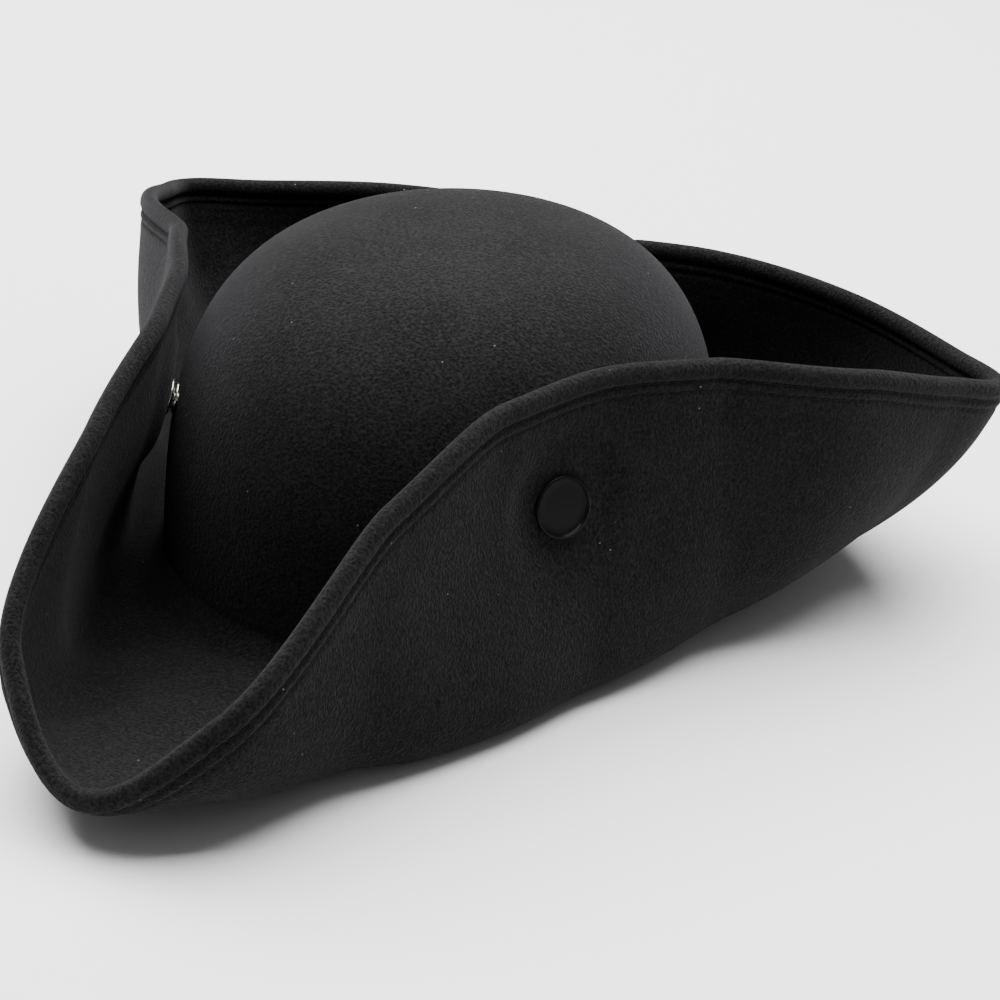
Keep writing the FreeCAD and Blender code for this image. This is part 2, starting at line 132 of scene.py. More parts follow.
def snap_site(angle, facing):
    """Where a snap's axis crosses the felt's middle layer, and the way it points."""
    line = free_middle(float(angle), np.linspace(0.5, 1, 2001))
    turn, tilt = math.radians(facing), math.radians(SNAP_TILT)
    outward = (math.cos(tilt) * math.sin(turn), -math.cos(tilt) * math.cos(turn), math.sin(tilt))
    return line[np.searchsorted(line[:, 2], SNAP_LEVEL)], np.array(outward)


CLAMPS = [snap_site(*angles) for angles in SNAPS.values()]


def brim_middle(angles, parts):
    """The felt's middle layer, pressed flat beside the snaps."""
    points = free_middle(angles, parts)
    for centre, outward in CLAMPS:
        away = points - centre
        distance = np.linalg.norm(away, axis=-1)
        share = np.clip((CLAMP_FADE_RADIUS - distance) / (CLAMP_FADE_RADIUS - CLAMPED_RADIUS), 0, 1)
        points = points - outward * ((away @ outward) * share ** 2 * (3 - 2 * share))[..., None]
    return points


def unit(vectors):
    return vectors / np.linalg.norm(vectors, axis=-1, keepdims=True)


def brim_frame(angles, parts):
    """Middle layer, the way along the rim, and the felt's normal on its upper side."""
    step_angle, step_part = 0.25, 0.002
    along = brim_middle(angles + step_angle, parts) - brim_middle(angles - step_angle, parts)
    low, high = np.maximum(parts - step_part, 0), np.minimum(parts + step_part, 1)
    across = brim_middle(angles, high) - brim_middle(angles, low)
    return brim_middle(angles, parts), unit(along), unit(-np.cross(along, across))


def parts_at(angles, lengths, from_rim):
    """The parts that lie these lengths of felt from the rim, or from the crown's foot."""
    fine = np.linspace(0, 1, 601)
    points = brim_middle(angles[:, None], fine[None, :])
    steps = np.linalg.norm(np.diff(points, axis=1), axis=-1)
    run = np.concatenate([np.zeros((len(angles), 1)), np.cumsum(steps, axis=1)], axis=1)
    if from_rim:
        run = run[:, -1:] - run
        return np.stack([np.interp(lengths, row[::-1], fine[::-1]) for row in run])
    return np.stack([np.interp(lengths, row, fine) for row in run])


def closed_piece(name, points, faces, material, crease=50):
    """An object from points and faces, its doubles merged and its normals turned outwards."""
    mesh = bpy.data.meshes.new(name)
    mesh.from_pydata([tuple(p) for p in points], [], faces)
    shell = bmesh.new()
    shell.from_mesh(mesh)
    bmesh.ops.remove_doubles(shell, verts=shell.verts, dist=2e-6)
    bmesh.ops.recalc_face_normals(shell, faces=shell.faces)
    shell.to_mesh(mesh)
    shell.free()
    mesh.shade_smooth()
    mesh.set_sharp_from_angle(angle=math.radians(crease))
    mesh.materials.append(material)
    piece = bpy.data.objects.new(name, mesh)
    bpy.context.scene.collection.objects.link(piece)
    return piece


def sheet_faces(columns, rows, ring=False):
    """Faces of a sheet's outer and inner grids, and of the borders that close it."""
    count = columns * rows

    def grid(i, j, side):
        return (i % columns) * rows + j + side * count

    faces = []
    last = columns if ring else columns - 1
    for i in range(last):
        for j in range(rows - 1):
            faces.append([grid(i, j, 0), grid(i, j + 1, 0), grid(i + 1, j + 1, 0), grid(i + 1, j, 0)])
            faces.append([grid(i, j, 1), grid(i + 1, j, 1), grid(i + 1, j + 1, 1), grid(i, j + 1, 1)])
        for j in (0, rows - 1):
            faces.append([grid(i, j, 0), grid(i + 1, j, 0), grid(i + 1, j, 1), grid(i, j, 1)])
    if not ring:
        for i in (0, columns - 1):
            for j in range(rows - 1):
                faces.append([grid(i, j, 0), grid(i, j, 1), grid(i, j + 1, 1), grid(i, j + 1, 0)])
    return faces


def felt_sheet(name, middle, normal, thickness, material, ring=False):
    """A closed sheet of even thickness about a grid of middle points."""
    columns, rows = middle.shape[:2]
    faces_of_felt = np.concatenate([(middle + normal * thickness / 2).reshape(-1, 3),
                                    (middle - normal * thickness / 2).reshape(-1, 3)])
    return closed_piece(name, faces_of_felt, sheet_faces(columns, rows, ring), material)


def node(tree, kind, inputs=None, **settings):
    """Adds a shader or geometry node, with its settings and the values or links of its inputs."""
    made = tree.nodes.new(kind)
    for key, value in settings.items():
        setattr(made, key, value)
    for key, value in (inputs or {}).items():
        if isinstance(value, bpy.types.NodeSocket):
            tree.links.new(value, made.inputs[key])
        else:
            made.inputs[key].default_value = value
    return made


def new_group(name, kind, inputs, outputs):
    """An empty node group with named sockets, and its input and output nodes."""
    tree = bpy.data.node_groups.new(name, kind)
    for label, socket, value in inputs:
        made = tree.interface.new_socket(label, in_out="INPUT", socket_type=socket)
        if value is not None:
            made.default_value = value
    for label, socket in outputs:
        tree.interface.new_socket(label, in_out="OUTPUT", socket_type=socket)
    return tree, tree.nodes.new("NodeGroupInput"), tree.nodes.new("NodeGroupOutput")


def nap_group():
    """Short matted wool: blotches in the dye, tangled fibres that hang downwards, and specks of lint."""
    tree, given, result = new_group(
        "wool_nap", "ShaderNodeTree",
        [("Vector", "NodeSocketVector", None), ("Blotch Scale", "NodeSocketFloat", 30.0),
         ("Fibre Scale", "NodeSocketFloat", 1100.0), ("Lint Scale", "NodeSocketFloat", 110.0)],
        [("Shade", "NodeSocketFloat"), ("Height", "NodeSocketFloat"), ("Lint", "NodeSocketFloat")])
    place = given.outputs["Vector"]
    blotch = node(tree, "ShaderNodeTexNoise", {
        "Vector": place, "Scale": given.outputs["Blotch Scale"], "Detail": 3.0, "Roughness": 0.55})
    hanging = node(tree, "ShaderNodeVectorMath", {0: place, 1: (1, 1, 0.3)}, operation="MULTIPLY")
    streak = node(tree, "ShaderNodeTexNoise", {
        "Vector": hanging.outputs[0], "Scale": given.outputs["Fibre Scale"], "Detail": 2.0,
        "Roughness": 0.6, "Distortion": 1.0})
    tangle = node(tree, "ShaderNodeTexNoise", {
        "Vector": place, "Scale": given.outputs["Fibre Scale"], "Detail": 3.0, "Roughness": 0.65,
        "Distortion": 1.2})
    pits = node(tree, "ShaderNodeTexVoronoi", {
        "Vector": place, "Scale": given.outputs["Fibre Scale"]}, feature="SMOOTH_F1")
    fibres = node(tree, "ShaderNodeMix", {0: 0.5, "A": tangle.outputs["Fac"], "B": streak.outputs["Fac"]})
    matted = node(tree, "ShaderNodeMix", {0: 0.35, "A": fibres.outputs[0], "B": pits.outputs["Distance"]})
    raised = node(tree, "ShaderNodeMix", {0: 0.18, "A": matted.outputs[0], "B": blotch.outputs["Fac"]})
    spread = node(tree, "ShaderNodeMapRange", {
        "Value": raised.outputs[0], "From Min": 0.38, "From Max": 0.58})
    speck = node(tree, "ShaderNodeTexVoronoi", {"Vector": place, "Scale": given.outputs["Lint Scale"]})
    lint = node(tree, "ShaderNodeMapRange", {
        "Value": speck.outputs["Distance"], "From Min": 0.034, "From Max": 0.022})
    tree.links.new(spread.outputs[0], result.inputs["Shade"])
    tree.links.new(matted.outputs[0], result.inputs["Height"])
    tree.links.new(lint.outputs[0], result.inputs["Lint"])
    return tree


WOOL_NAP = nap_group()


def new_material(name):
    """A material with a cleared tree, its output and a Principled shader."""
    material = bpy.data.materials.new(name)
    material.use_nodes = True
    tree = material.node_tree
    tree.nodes.clear()
    shader = tree.nodes.new("ShaderNodeBsdfPrincipled")
    output = tree.nodes.new("ShaderNodeOutputMaterial")
    tree.links.new(shader.outputs["BSDF"], output.inputs["Surface"])
    return material, tree, shader


def felt_finish(name, deep, worn, bump):
    """Matt black wool felt, lighter where the nap stands up."""
    material, tree, shader = new_material(name)
    place = node(tree, "ShaderNodeTexCoord")
    nap = node(tree, "ShaderNodeGroup", node_tree=WOOL_NAP)
    tree.links.new(place.outputs["Object"], nap.inputs["Vector"])
    colour = node(tree, "ShaderNodeMix", {
        0: nap.outputs["Shade"], "A": (*deep, 1), "B": (*worn, 1)}, data_type="RGBA")
    linted = node(tree, "ShaderNodeMix", {
        0: nap.outputs["Lint"], "A": colour.outputs[2], "B": (0.12, 0.12, 0.12, 1)}, data_type="RGBA")
    relief = node(tree, "ShaderNodeBump", {
        "Height": nap.outputs["Height"], "Strength": bump, "Distance": 0.0012})
    rough = node(tree, "ShaderNodeMapRange", {
        "Value": nap.outputs["Shade"], "To Min": 1.0, "To Max": 0.86})
    tree.links.new(linted.outputs[2], shader.inputs["Base Color"])
    tree.links.new(rough.outputs[0], shader.inputs["Roughness"])
    tree.links.new(relief.outputs["Normal"], shader.inputs["Normal"])
    shader.inputs["Specular IOR Level"].default_value = 0.08
    shader.inputs["Sheen Weight"].default_value = 0.05
    shader.inputs["Sheen Roughness"].default_value = 0.45
    shader.inputs["Sheen Tint"].default_value = (0.75, 0.75, 0.8, 1)
    return material


FELT_FINISH = felt_finish("black_wool_felt", (0.001, 0.001, 0.0011), (0.0072, 0.0072, 0.0076), 0.7)

# Each field: the angles it runs between, the side it belongs to, and the angle down its middle.
SIDE_MIDDLE = 58
REAR_TIP = 120
FIELDS = {
    "left_front": (0, SIDE_MIDDLE, "left_side"),
    "left_rear": (REAR_TIP, SIDE_MIDDLE, "left_side"),
    "back_left": (REAR_TIP, HALF_TURN, "back_side"),
    "right_front": (0, -SIDE_MIDDLE, "right_side"),
    "right_rear": (-REAR_TIP, -SIDE_MIDDLE, "right_side"),
    "back_right": (-REAR_TIP, -HALF_TURN, "back_side"),
}
FLAP = {"left_side": "left_flap", "right_side": "right_flap", "back_side": "back_flap"}
CORNER = {0: "front_corner", REAR_TIP: "left_rear_corner", -REAR_TIP: "right_rear_corner"}
FOOT_WIDTH = 0.009
HEM_RADIUS = 0.0031


def bend(piece, field):
    """Bakes the piece's placement into its mesh; it works out the field's corner tip and middle direction
    but does not use them.
    """
    corner, middle, side = FIELDS[field]
    tip = brim_middle(np.array([float(corner)]), np.array([1.0]))[0]
    turn = math.radians(middle)
    towards = Vector((math.cos(turn), math.sin(turn), 0))
    if towards.dot(Vector(tip)) < 0:
        towards = -towards
    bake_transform(piece)


def columns_of(field, count):
    """Angles across a field, closer together near its corner."""
    corner, middle, _ = FIELDS[field]
    share = np.linspace(0, 1, count) ** 1.25
    return corner + (middle - corner) * share


def flat_size(points):
    """Width, length and area of a field's middle layer, laid flat."""
    width = np.linalg.norm(np.diff(points, axis=1), axis=-1).sum(axis=1).max()
    length = np.linalg.norm(np.diff(points[:, -1], axis=0), axis=-1).sum()
    tiles = np.cross(points[1:, :-1] - points[:-1, :-1], points[:-1, 1:] - points[:-1, :-1])
    return width, length, np.linalg.norm(tiles, axis=-1).sum()


fields, flat_sizes = {}, {}
for field, (corner, middle, side) in FIELDS.items():
    angles = columns_of(field, 110)
    first = parts_at(angles, [FOOT_WIDTH], from_rim=False)
    last = parts_at(angles, [HEM_RADIUS + 0.0001], from_rim=True)
    parts = first + (last - first) * np.linspace(0, 1, 48)[None, :]
    points, along, normal = brim_frame(angles[:, None], parts)
    fields[field] = felt_sheet("brim_" + field, points, normal, FELT, FELT_FINISH)
    bend(fields[field], field)
    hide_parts(FLAP[side], "brim_base")
    flat_sizes[field] = flat_size(points)

# ------------------------------------------------------------------ crown
# The crown is the same felt, pulled over an oval block into a dome and steamed.  Its wall turns out at the
# foot in a soft fillet that runs straight on into the brim.
CROWN_HEIGHT = 0.115
CROWN_ROUNDNESS = 2.75
CROWN_FLATNESS = 3.6
FILLET_TOP = 0.009
FILLET_FULLNESS = 0.013

crown_angles = np.linspace(0, 2 * HALF_TURN, 180, endpoint=False)
outline_turn = np.radians(np.linspace(90, 0, 60))
lift, spread = np.sin(outline_turn), np.cos(outline_turn)
level = lift / (lift ** CROWN_FLATNESS + spread ** CROWN_ROUNDNESS) ** (1 / CROWN_FLATNESS)
level = np.minimum(level, 1)
share = (1 - level ** CROWN_FLATNESS) ** (1 / CROWN_ROUNDNESS)
heights = CROWN_HEIGHT * level
kept = heights > FILLET_TOP
heights, share = np.append(heights[kept], FILLET_TOP), np.append(share[kept], 1)
share[-1] = (1 - (FILLET_TOP / CROWN_HEIGHT) ** CROWN_FLATNESS) ** (1 / CROWN_ROUNDNESS)


def crown_outside(angles, radii_share, levels):
    turn = np.radians(angles)
    radius = crown_reach(angles) * radii_share
    return np.stack([radius * np.sin(turn), -radius * np.cos(turn), levels + 0 * radius], axis=-1)


def surface_normal(grid):
    """Normals of a grid that closes on itself, by differences along its columns and rows."""
    along = np.roll(grid, -1, axis=0) - np.roll(grid, 1, axis=0)
    across = np.gradient(grid, axis=1)
    normal = np.cross(along, across)
    normal[:, 0] = (0, 0, 1)
    return unit(normal)


wall = crown_outside(crown_angles[:, None], share[None, :], heights[None, :])
wall_normal = surface_normal(wall)
if (wall_normal[0, -1] @ wall[0, -1]) < 0:
    wall_normal[:, 1:] = -wall_normal[:, 1:]
wall_middle = wall - wall_normal * FELT / 2

foot_part = parts_at(crown_angles, [FOOT_WIDTH], from_rim=False)
foot_start, _, foot_normal = brim_frame(crown_angles[:, None], foot_part)
foot_next = brim_middle(crown_angles[:, None], foot_part + 0.002)
foot_away = unit(foot_next - foot_start)[:, 0]
foot_start = foot_start[:, 0]
wall_end = wall_middle[:, -1]
blend = np.linspace(0, 1, 13)[1:, None, None]
fillet = ((2 * blend ** 3 - 3 * blend ** 2 + 1) * wall_end
          + (blend ** 3 - 2 * blend ** 2 + blend) * FILLET_FULLNESS * np.array([0, 0, -1.0])
          + (3 * blend ** 2 - 2 * blend ** 3) * foot_start
          + (blend ** 3 - blend ** 2) * FILLET_FULLNESS * foot_away)
crown_middle = np.concatenate([wall_middle, fillet.transpose(1, 0, 2)], axis=1)
crown_normal = surface_normal(crown_middle)
if (crown_normal[0, len(heights) // 2] @ crown_middle[0, len(heights) // 2]) < 0:
    crown_normal[:, 1:] = -crown_normal[:, 1:]
crown_normal[:, -1] = foot_normal[:, 0]
crown = felt_sheet("crown_dome", crown_middle, crown_normal, FELT, FELT_FINISH, ring=True)
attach(crown, "crown_and_base")
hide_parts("crown")

# ------------------------------------------------------------------ rolled hem
# The edge of the brim is turned over a wire and stitched down twice: a round bead along the rim, a groove
# where the first row pulls it in, a flat band, and a second groove where the turned edge is caught.
# The profile gives (depth below the top of the bead, distance from the felt's middle) in mm.
WIRE_BORE = 0.00115
HEM_PROFILE = [(0, 0), (.3, 1.2), (1.0, 2.2), (2.0, 2.85), (3.2, 3.1), (4.4, 3.0), (5.3, 2.6), (5.9, 2.05),
               (6.3, 1.75), (6.7, 1.75), (7.1, 2.0), (7.7, 2.25), (8.4, 2.25), (9.0, 2.05), (9.4, 1.75),
               (9.7, 1.58), (10.0, 1.58), (10.4, 1.72), (11.0, 1.84), (12.0, 1.82), (13.5, 1.7),
               (15.5, 1.58), (17.0, 1.54)]
SLOT_TOP = 0.0064
HEM_STEP = 0.0007
HEM_STEPS = 20
TIP_SPREAD = 10


def hem_ring():
    """The closed profile: over the bead, down the near face, up the slot, round the bore and back."""
    slot = FELT / 2 + 0.00003
    bore = [(HEM_RADIUS + WIRE_BORE * math.cos(turn), WIRE_BORE * math.sin(turn))
            for turn in np.linspace(math.radians(20), math.radians(340), 13)]
    near = [(depth / 1000, offset / 1000) for depth, offset in HEM_PROFILE[1:]]
    near += [(near[-1][0], slot), (SLOT_TOP, slot)]
    far = [(depth, -offset) for depth, offset in reversed(near)]
    return [(0.0, 0.0)] + near + bore + far


def inward_lines(angles):
    """(angle, part) steps of equal length down the felt, square to the rim except close to a tip."""
    along = unit(brim_middle(angles + 0.1, 1.0) - brim_middle(angles - 0.1, 1.0))
    tip_distance = np.min([np.abs(np.abs(angles) - tip) for tip in (0, REAR_TIP)], axis=0)
    square = np.clip(tip_distance / TIP_SPREAD, 0, 1)
    square = square ** 2 * (3 - 2 * square)
    at, part = angles.astype(float), np.ones(len(angles))
    lines = [(at, part)]
    for _ in range(HEM_STEPS):
        turned = (brim_middle(at + 0.1, part) - brim_middle(at - 0.1, part)) / 0.2
        sunk = (brim_middle(at, part) - brim_middle(at, part - 0.004)) / -0.004
        slip = square * np.sum(sunk * along, axis=-1) / np.sum(turned * along, axis=-1)
        step = HEM_STEP / np.linalg.norm(sunk - turned * slip[:, None], axis=-1)
        at, part = at - slip * step, part - step
        lines.append((at, part))
    return lines


def on_hem(angles, depths):
    """Middle layer and upper normals at depths below the top of the bead, measured square to the rim."""
    lines = inward_lines(angles)
    run = np.arange(HEM_STEPS + 1) * HEM_STEP
    below = np.maximum(np.array(depths) - HEM_RADIUS, 0)
    at = np.stack([np.interp(below, run, row) for row in np.array([line[0] for line in lines]).T])
    part = np.stack([np.interp(below, run, row) for row in np.array([line[1] for line in lines]).T])
    points, along, normal = brim_frame(at, part)
    first = brim_middle(lines[0][0], lines[0][1])
    second = brim_middle(lines[1][0], lines[1][1])
    upward = unit(first - second)[:, None, :]
    above = np.maximum(HEM_RADIUS - np.array(depths), 0)
    return points + upward * above[None, :, None], along, normal


def swept(name, sections, material, crease=50):
    """A closed solid through a row of closed profiles, capped at both ends."""
    count, corners = sections.shape[:2]
    faces = [[i * corners + j, i * corners + (j + 1) % corners, (i + 1) * corners + (j + 1) % corners,
              (i + 1) * corners + j] for i in range(count - 1) for j in range(corners)]
    faces.append(list(range(corners)))
    faces.append([(count - 1) * corners + j for j in range(corners)])
    return closed_piece(name, sections.reshape(-1, 3), faces, material, crease)


ring = hem_ring()
ring_depth = np.array([depth for depth, _ in ring])
ring_offset = np.array([offset for _, offset in ring])
hems = {}
for field, (corner, middle, side) in FIELDS.items():
    angles = columns_of(field, 150)
    points, along, normal = on_hem(angles, ring_depth)
    hems[field] = swept("hem_" + field, points + normal * ring_offset[None, :, None], FELT_FINISH)
    bend(hems[field], field)
    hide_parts(FLAP[side] + "_hem", CORNER[corner] + "_hem")

# ------------------------------------------------------------------ hem wire
# A springy steel wire lies in the bead all round the rim and holds the three sides in shape.  Its ends meet
# at the back in a crimped tube.
WIRE_RADIUS = 0.0008


def drawn_steel():
    """Plain drawn wire, with fine marks along it."""
    material, tree, shader = new_material("drawn_steel")
    place = node(tree, "ShaderNodeTexCoord")
    marks = node(tree, "ShaderNodeTexNoise", {
        "Vector": place.outputs["Object"], "Scale": 700.0, "Detail": 3.0})
    rough = node(tree, "ShaderNodeMapRange", {"Value": marks.outputs["Fac"], "To Min": 0.25, "To Max": 0.5})
    tree.links.new(rough.outputs[0], shader.inputs["Roughness"])
    shader.inputs["Base Color"].default_value = (0.45, 0.45, 0.46, 1)
    shader.inputs["Metallic"].default_value = 1.0
    return material


STEEL = drawn_steel()
for field, (corner, middle, side) in FIELDS.items():
    angles = columns_of(field, 90)
    rim, along, normal = brim_frame(angles[:, None], np.ones((len(angles), 1)))
    turns = np.radians(np.arange(0, 360, 45))[None, :, None]
    circle = rim + WIRE_RADIUS * (normal * np.cos(turns) + np.cross(along, normal) * np.sin(turns))
    wire = swept("wire_" + field, circle, STEEL, crease=80)
    bend(wire, field)
    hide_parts(FLAP[side] + "_wire", CORNER[corner] + "_wire")
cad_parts["wire_joiner"].data.materials.clear()
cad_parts["wire_joiner"].data.materials.append(STEEL)

# ------------------------------------------------------------------ hem stitching
# Two rows of black polyester lockstitch run round the brim, one in each groove of the hem, and show on both
# faces.
STITCH_PITCH = 0.0036
STITCH_LENGTH = 0.0031
THREAD_RADIUS = 0.00028
ROWS = ((0.0065, 0.0018), (0.00985, 0.00162))


def thread_finish():
    """Twisted polyester sewing thread."""
    material, tree, shader = new_material("black_thread")
    place = node(tree, "ShaderNodeTexCoord")
    twist = node(tree, "ShaderNodeTexNoise", {
        "Vector": place.outputs["Object"], "Scale": 2600.0, "Detail": 1.0})
    colour = node(tree, "ShaderNodeMix", {
        0: twist.outputs["Fac"], "A": (0.001, 0.001, 0.001, 1), "B": (0.004, 0.004, 0.0045, 1)},
        data_type="RGBA")
    relief = node(tree, "ShaderNodeBump", {
        "Height": twist.outputs["Fac"], "Strength": 0.5, "Distance": 0.0002})
    tree.links.new(colour.outputs[2], shader.inputs["Base Color"])
    tree.links.new(relief.outputs["Normal"], shader.inputs["Normal"])
    shader.inputs["Roughness"].default_value = 0.7
    shader.inputs["Specular IOR Level"].default_value = 0.1
    return material


THREAD = thread_finish()


def stitch_tree():
    """Lays a slightly arched stitch every pitch along a line that knows which way is outward."""
    tree, given, result = new_group(
        "stitch_row", "GeometryNodeTree",
        [("Line", "NodeSocketGeometry", None), ("Pitch", "NodeSocketFloat", 0.003),
         ("Length", "NodeSocketFloat", 0.003), ("Radius", "NodeSocketFloat", 0.0003),
         ("Material", "NodeSocketMaterial", None)],
        [("Stitches", "NodeSocketGeometry")])
    half = node(tree, "ShaderNodeMath", {0: given.outputs["Length"], 1: 0.5}, operation="MULTIPLY")
    back = node(tree, "ShaderNodeMath", {0: given.outputs["Length"], 1: -0.5}, operation="MULTIPLY")
    sink = node(tree, "ShaderNodeMath", {0: given.outputs["Radius"], 1: -1.4}, operation="MULTIPLY")
    crest = node(tree, "ShaderNodeMath", {0: given.outputs["Radius"], 1: 1.2}, operation="MULTIPLY")
    begin = node(tree, "ShaderNodeCombineXYZ", {"X": back.outputs[0], "Z": sink.outputs[0]})
    top = node(tree, "ShaderNodeCombineXYZ", {"Z": crest.outputs[0]})
    finish = node(tree, "ShaderNodeCombineXYZ", {"X": half.outputs[0], "Z": sink.outputs[0]})
    arch = node(tree, "GeometryNodeCurveQuadraticBezier", {
        "Resolution": 4, "Start": begin.outputs[0], "Middle": top.outputs[0], "End": finish.outputs[0]})
    profile = node(tree, "GeometryNodeCurvePrimitiveCircle", {
        "Resolution": 6, "Radius": given.outputs["Radius"]})
    stitch = node(tree, "GeometryNodeCurveToMesh", {
        "Curve": arch.outputs[0], "Profile Curve": profile.outputs[0], "Fill Caps": True})
    line = node(tree, "GeometryNodeMeshToCurve", {"Mesh": given.outputs["Line"]})
    spots = node(tree, "GeometryNodeResampleCurve", {
        "Curve": line.outputs[0], "Length": given.outputs["Pitch"]}, mode="LENGTH")
    tangent = node(tree, "GeometryNodeInputTangent")
    outward = node(tree, "GeometryNodeInputNamedAttribute", {"Name": "outward"}, data_type="FLOAT_VECTOR")
    along = node(tree, "FunctionNodeAlignRotationToVector", {"Vector": tangent.outputs[0]}, axis="X")
    upright = node(tree, "FunctionNodeAlignRotationToVector", {
        "Rotation": along.outputs[0], "Vector": outward.outputs["Attribute"]}, axis="Z", pivot_axis="X")
    laid = node(tree, "GeometryNodeInstanceOnPoints", {
        "Points": spots.outputs[0], "Instance": stitch.outputs[0], "Rotation": upright.outputs[0]})
    real = node(tree, "GeometryNodeRealizeInstances", {"Geometry": laid.outputs[0]})
    shaded = node(tree, "GeometryNodeSetMaterial", {
        "Geometry": real.outputs[0], "Material": given.outputs["Material"]})
    tree.links.new(shaded.outputs[0], result.inputs["Stitches"])
    return tree


STITCH_TREE = stitch_tree()


def grown(name, seed_mesh, tree, values):
    """Runs a geometry tree on a mesh and keeps what it makes as a plain mesh object."""
    carrier = bpy.data.objects.new(name + "_seed", seed_mesh)
    bpy.context.scene.collection.objects.link(carrier)
    grower = carrier.modifiers.new("grow", "NODES")
    grower.node_group = tree
    for item in tree.interface.items_tree:
        if item.in_out == "INPUT" and item.name in values:
            grower[item.identifier] = values[item.name]
    shown = carrier.evaluated_get(bpy.context.evaluated_depsgraph_get())
    mesh = bpy.data.meshes.new_from_object(shown)
    carrier.modifiers.remove(grower)
    bpy.data.objects.remove(carrier)
    mesh.name = name
    mesh.shade_smooth()
    piece = bpy.data.objects.new(name, mesh)
    bpy.context.scene.collection.objects.link(piece)
    return piece


def line_mesh(name, lines):
    """A mesh of open lines, each a pair of points and outward directions."""
    points, edges, outward = [], [], []
    for places, directions in lines:
        first = len(points)
        points += [tuple(p) for p in places]
        outward += [tuple(d) for d in directions]
        edges += [(first + k, first + k + 1) for k in range(len(places) - 1)]
    mesh = bpy.data.meshes.new(name)
    mesh.from_pydata(points, edges, [])
    kept = mesh.attributes.new("outward", "FLOAT_VECTOR", "POINT")
    kept.data.foreach_set("vector", np.array(outward, np.float32).ravel())
    return mesh


for field, (corner, middle, side) in FIELDS.items():
    angles = columns_of(field, 150)
    lines = []
    for depth, stand in ROWS:
        points, along, normal = on_hem(angles, [depth])
        for face in (1, -1):
            lines.append(((points + face * normal * stand)[:, 0], (face * normal)[:, 0]))
    stitches = grown("stitches_" + field, line_mesh("rows_" + field, lines), STITCH_TREE, {
        "Pitch": STITCH_PITCH, "Length": STITCH_LENGTH, "Radius": THREAD_RADIUS, "Material": THREAD})
    bend(stitches, field)

# ------------------------------------------------------------------ snap fasteners
# Each side is held up by a ring snap: a black enamelled cap on the outside of the flap, a nickel socket on
# its inner face, and a nickel stud and eyelet riveted through the crown.


def enamel_finish():
    """Gloss black enamel on a pressed cap, with faint wipe marks."""
    material, tree, shader = new_material("black_enamel")
    place = node(tree, "ShaderNodeTexCoord")
    smear = node(tree, "ShaderNodeTexNoise", {
        "Vector": place.outputs["Object"], "Scale": 260.0, "Detail": 3.0})
    rough = node(tree, "ShaderNodeMapRange", {"Value": smear.outputs["Fac"], "To Min": 0.14, "To Max": 0.26})
    tree.links.new(rough.outputs[0], shader.inputs["Roughness"])
    shader.inputs["Base Color"].default_value = (0.004, 0.004, 0.0045, 1)
    shader.inputs["Specular IOR Level"].default_value = 0.04
    return material


def nickel_finish():
    """Bright nickel plate with a little tarnish."""
    material, tree, shader = new_material("nickel_plate")
    place = node(tree, "ShaderNodeTexCoord")
    tarnish = node(tree, "ShaderNodeTexNoise", {
        "Vector": place.outputs["Object"], "Scale": 420.0, "Detail": 4.0})
    colour = node(tree, "ShaderNodeMix", {
        0: tarnish.outputs["Fac"], "A": (0.66, 0.64, 0.6, 1), "B": (0.42, 0.4, 0.37, 1)}, data_type="RGBA")
    rough = node(tree, "ShaderNodeMapRange", {
        "Value": tarnish.outputs["Fac"], "To Min": 0.16, "To Max": 0.38})
    tree.links.new(colour.outputs[2], shader.inputs["Base Color"])
    tree.links.new(rough.outputs[0], shader.inputs["Roughness"])
    shader.inputs["Metallic"].default_value = 1.0
    return material


ENAMEL = enamel_finish()
NICKEL = nickel_finish()

# outlines of the turned pieces: (radius, height along the snap's axis from the felt's middle), in mm
CAP = [(0, -1.65), (1.7, -1.65), (1.9, -1.4), (1.9, 2.1), (9.2, 2.1), (9.6, 2.15), (9.85, 2.3),
       (9.9, 2.6), (9.8, 3.0), (9.5, 3.25), (9.15, 3.3), (8.85, 3.1), (8.7, 2.75), (8.5, 2.5), (8.1, 2.44),
       (6.0, 2.46), (3.0, 2.49), (0, 2.5)]
SOCKET = [(0, -2.05), (2.3, -2.05), (2.55, -2.2), (2.7, -2.5), (2.7, -3.0), (2.85, -3.2), (3.3, -3.3),
          (3.8, -3.15), (4.1, -2.85), (4.6, -2.65), (5.2, -2.7), (5.6, -2.6), (5.8, -2.3), (5.8, -2.0),
          (5.6, -1.77), (0, -1.75)]
STUD = [(0, -2.3), (1.0, -2.32), (1.5, -2.45), (1.8, -2.75), (1.8, -2.95), (1.6, -3.25), (1.5, -3.5),
        (1.7, -3.6), (4.7, -3.6), (5.0, -3.75), (5.0, -3.95), (4.8, -4.1), (1.9, -4.1), (1.9, -8.55),
        (1.75, -8.75), (0, -8.75)]
EYELET = [(2.0, -8.1), (4.8, -8.1), (5.0, -8.2), (4.9, -8.45), (4.4, -8.62), (3.0, -8.8), (2.2, -8.75),
          (2.0, -8.5)]
TURNED = {"snap_cap": (CAP, "snap_cap"), "snap_socket": (SOCKET, "snap_metal"),
          "snap_stud": (STUD, "snap_metal"), "snap_eyelet": (EYELET, "snap_metal")}


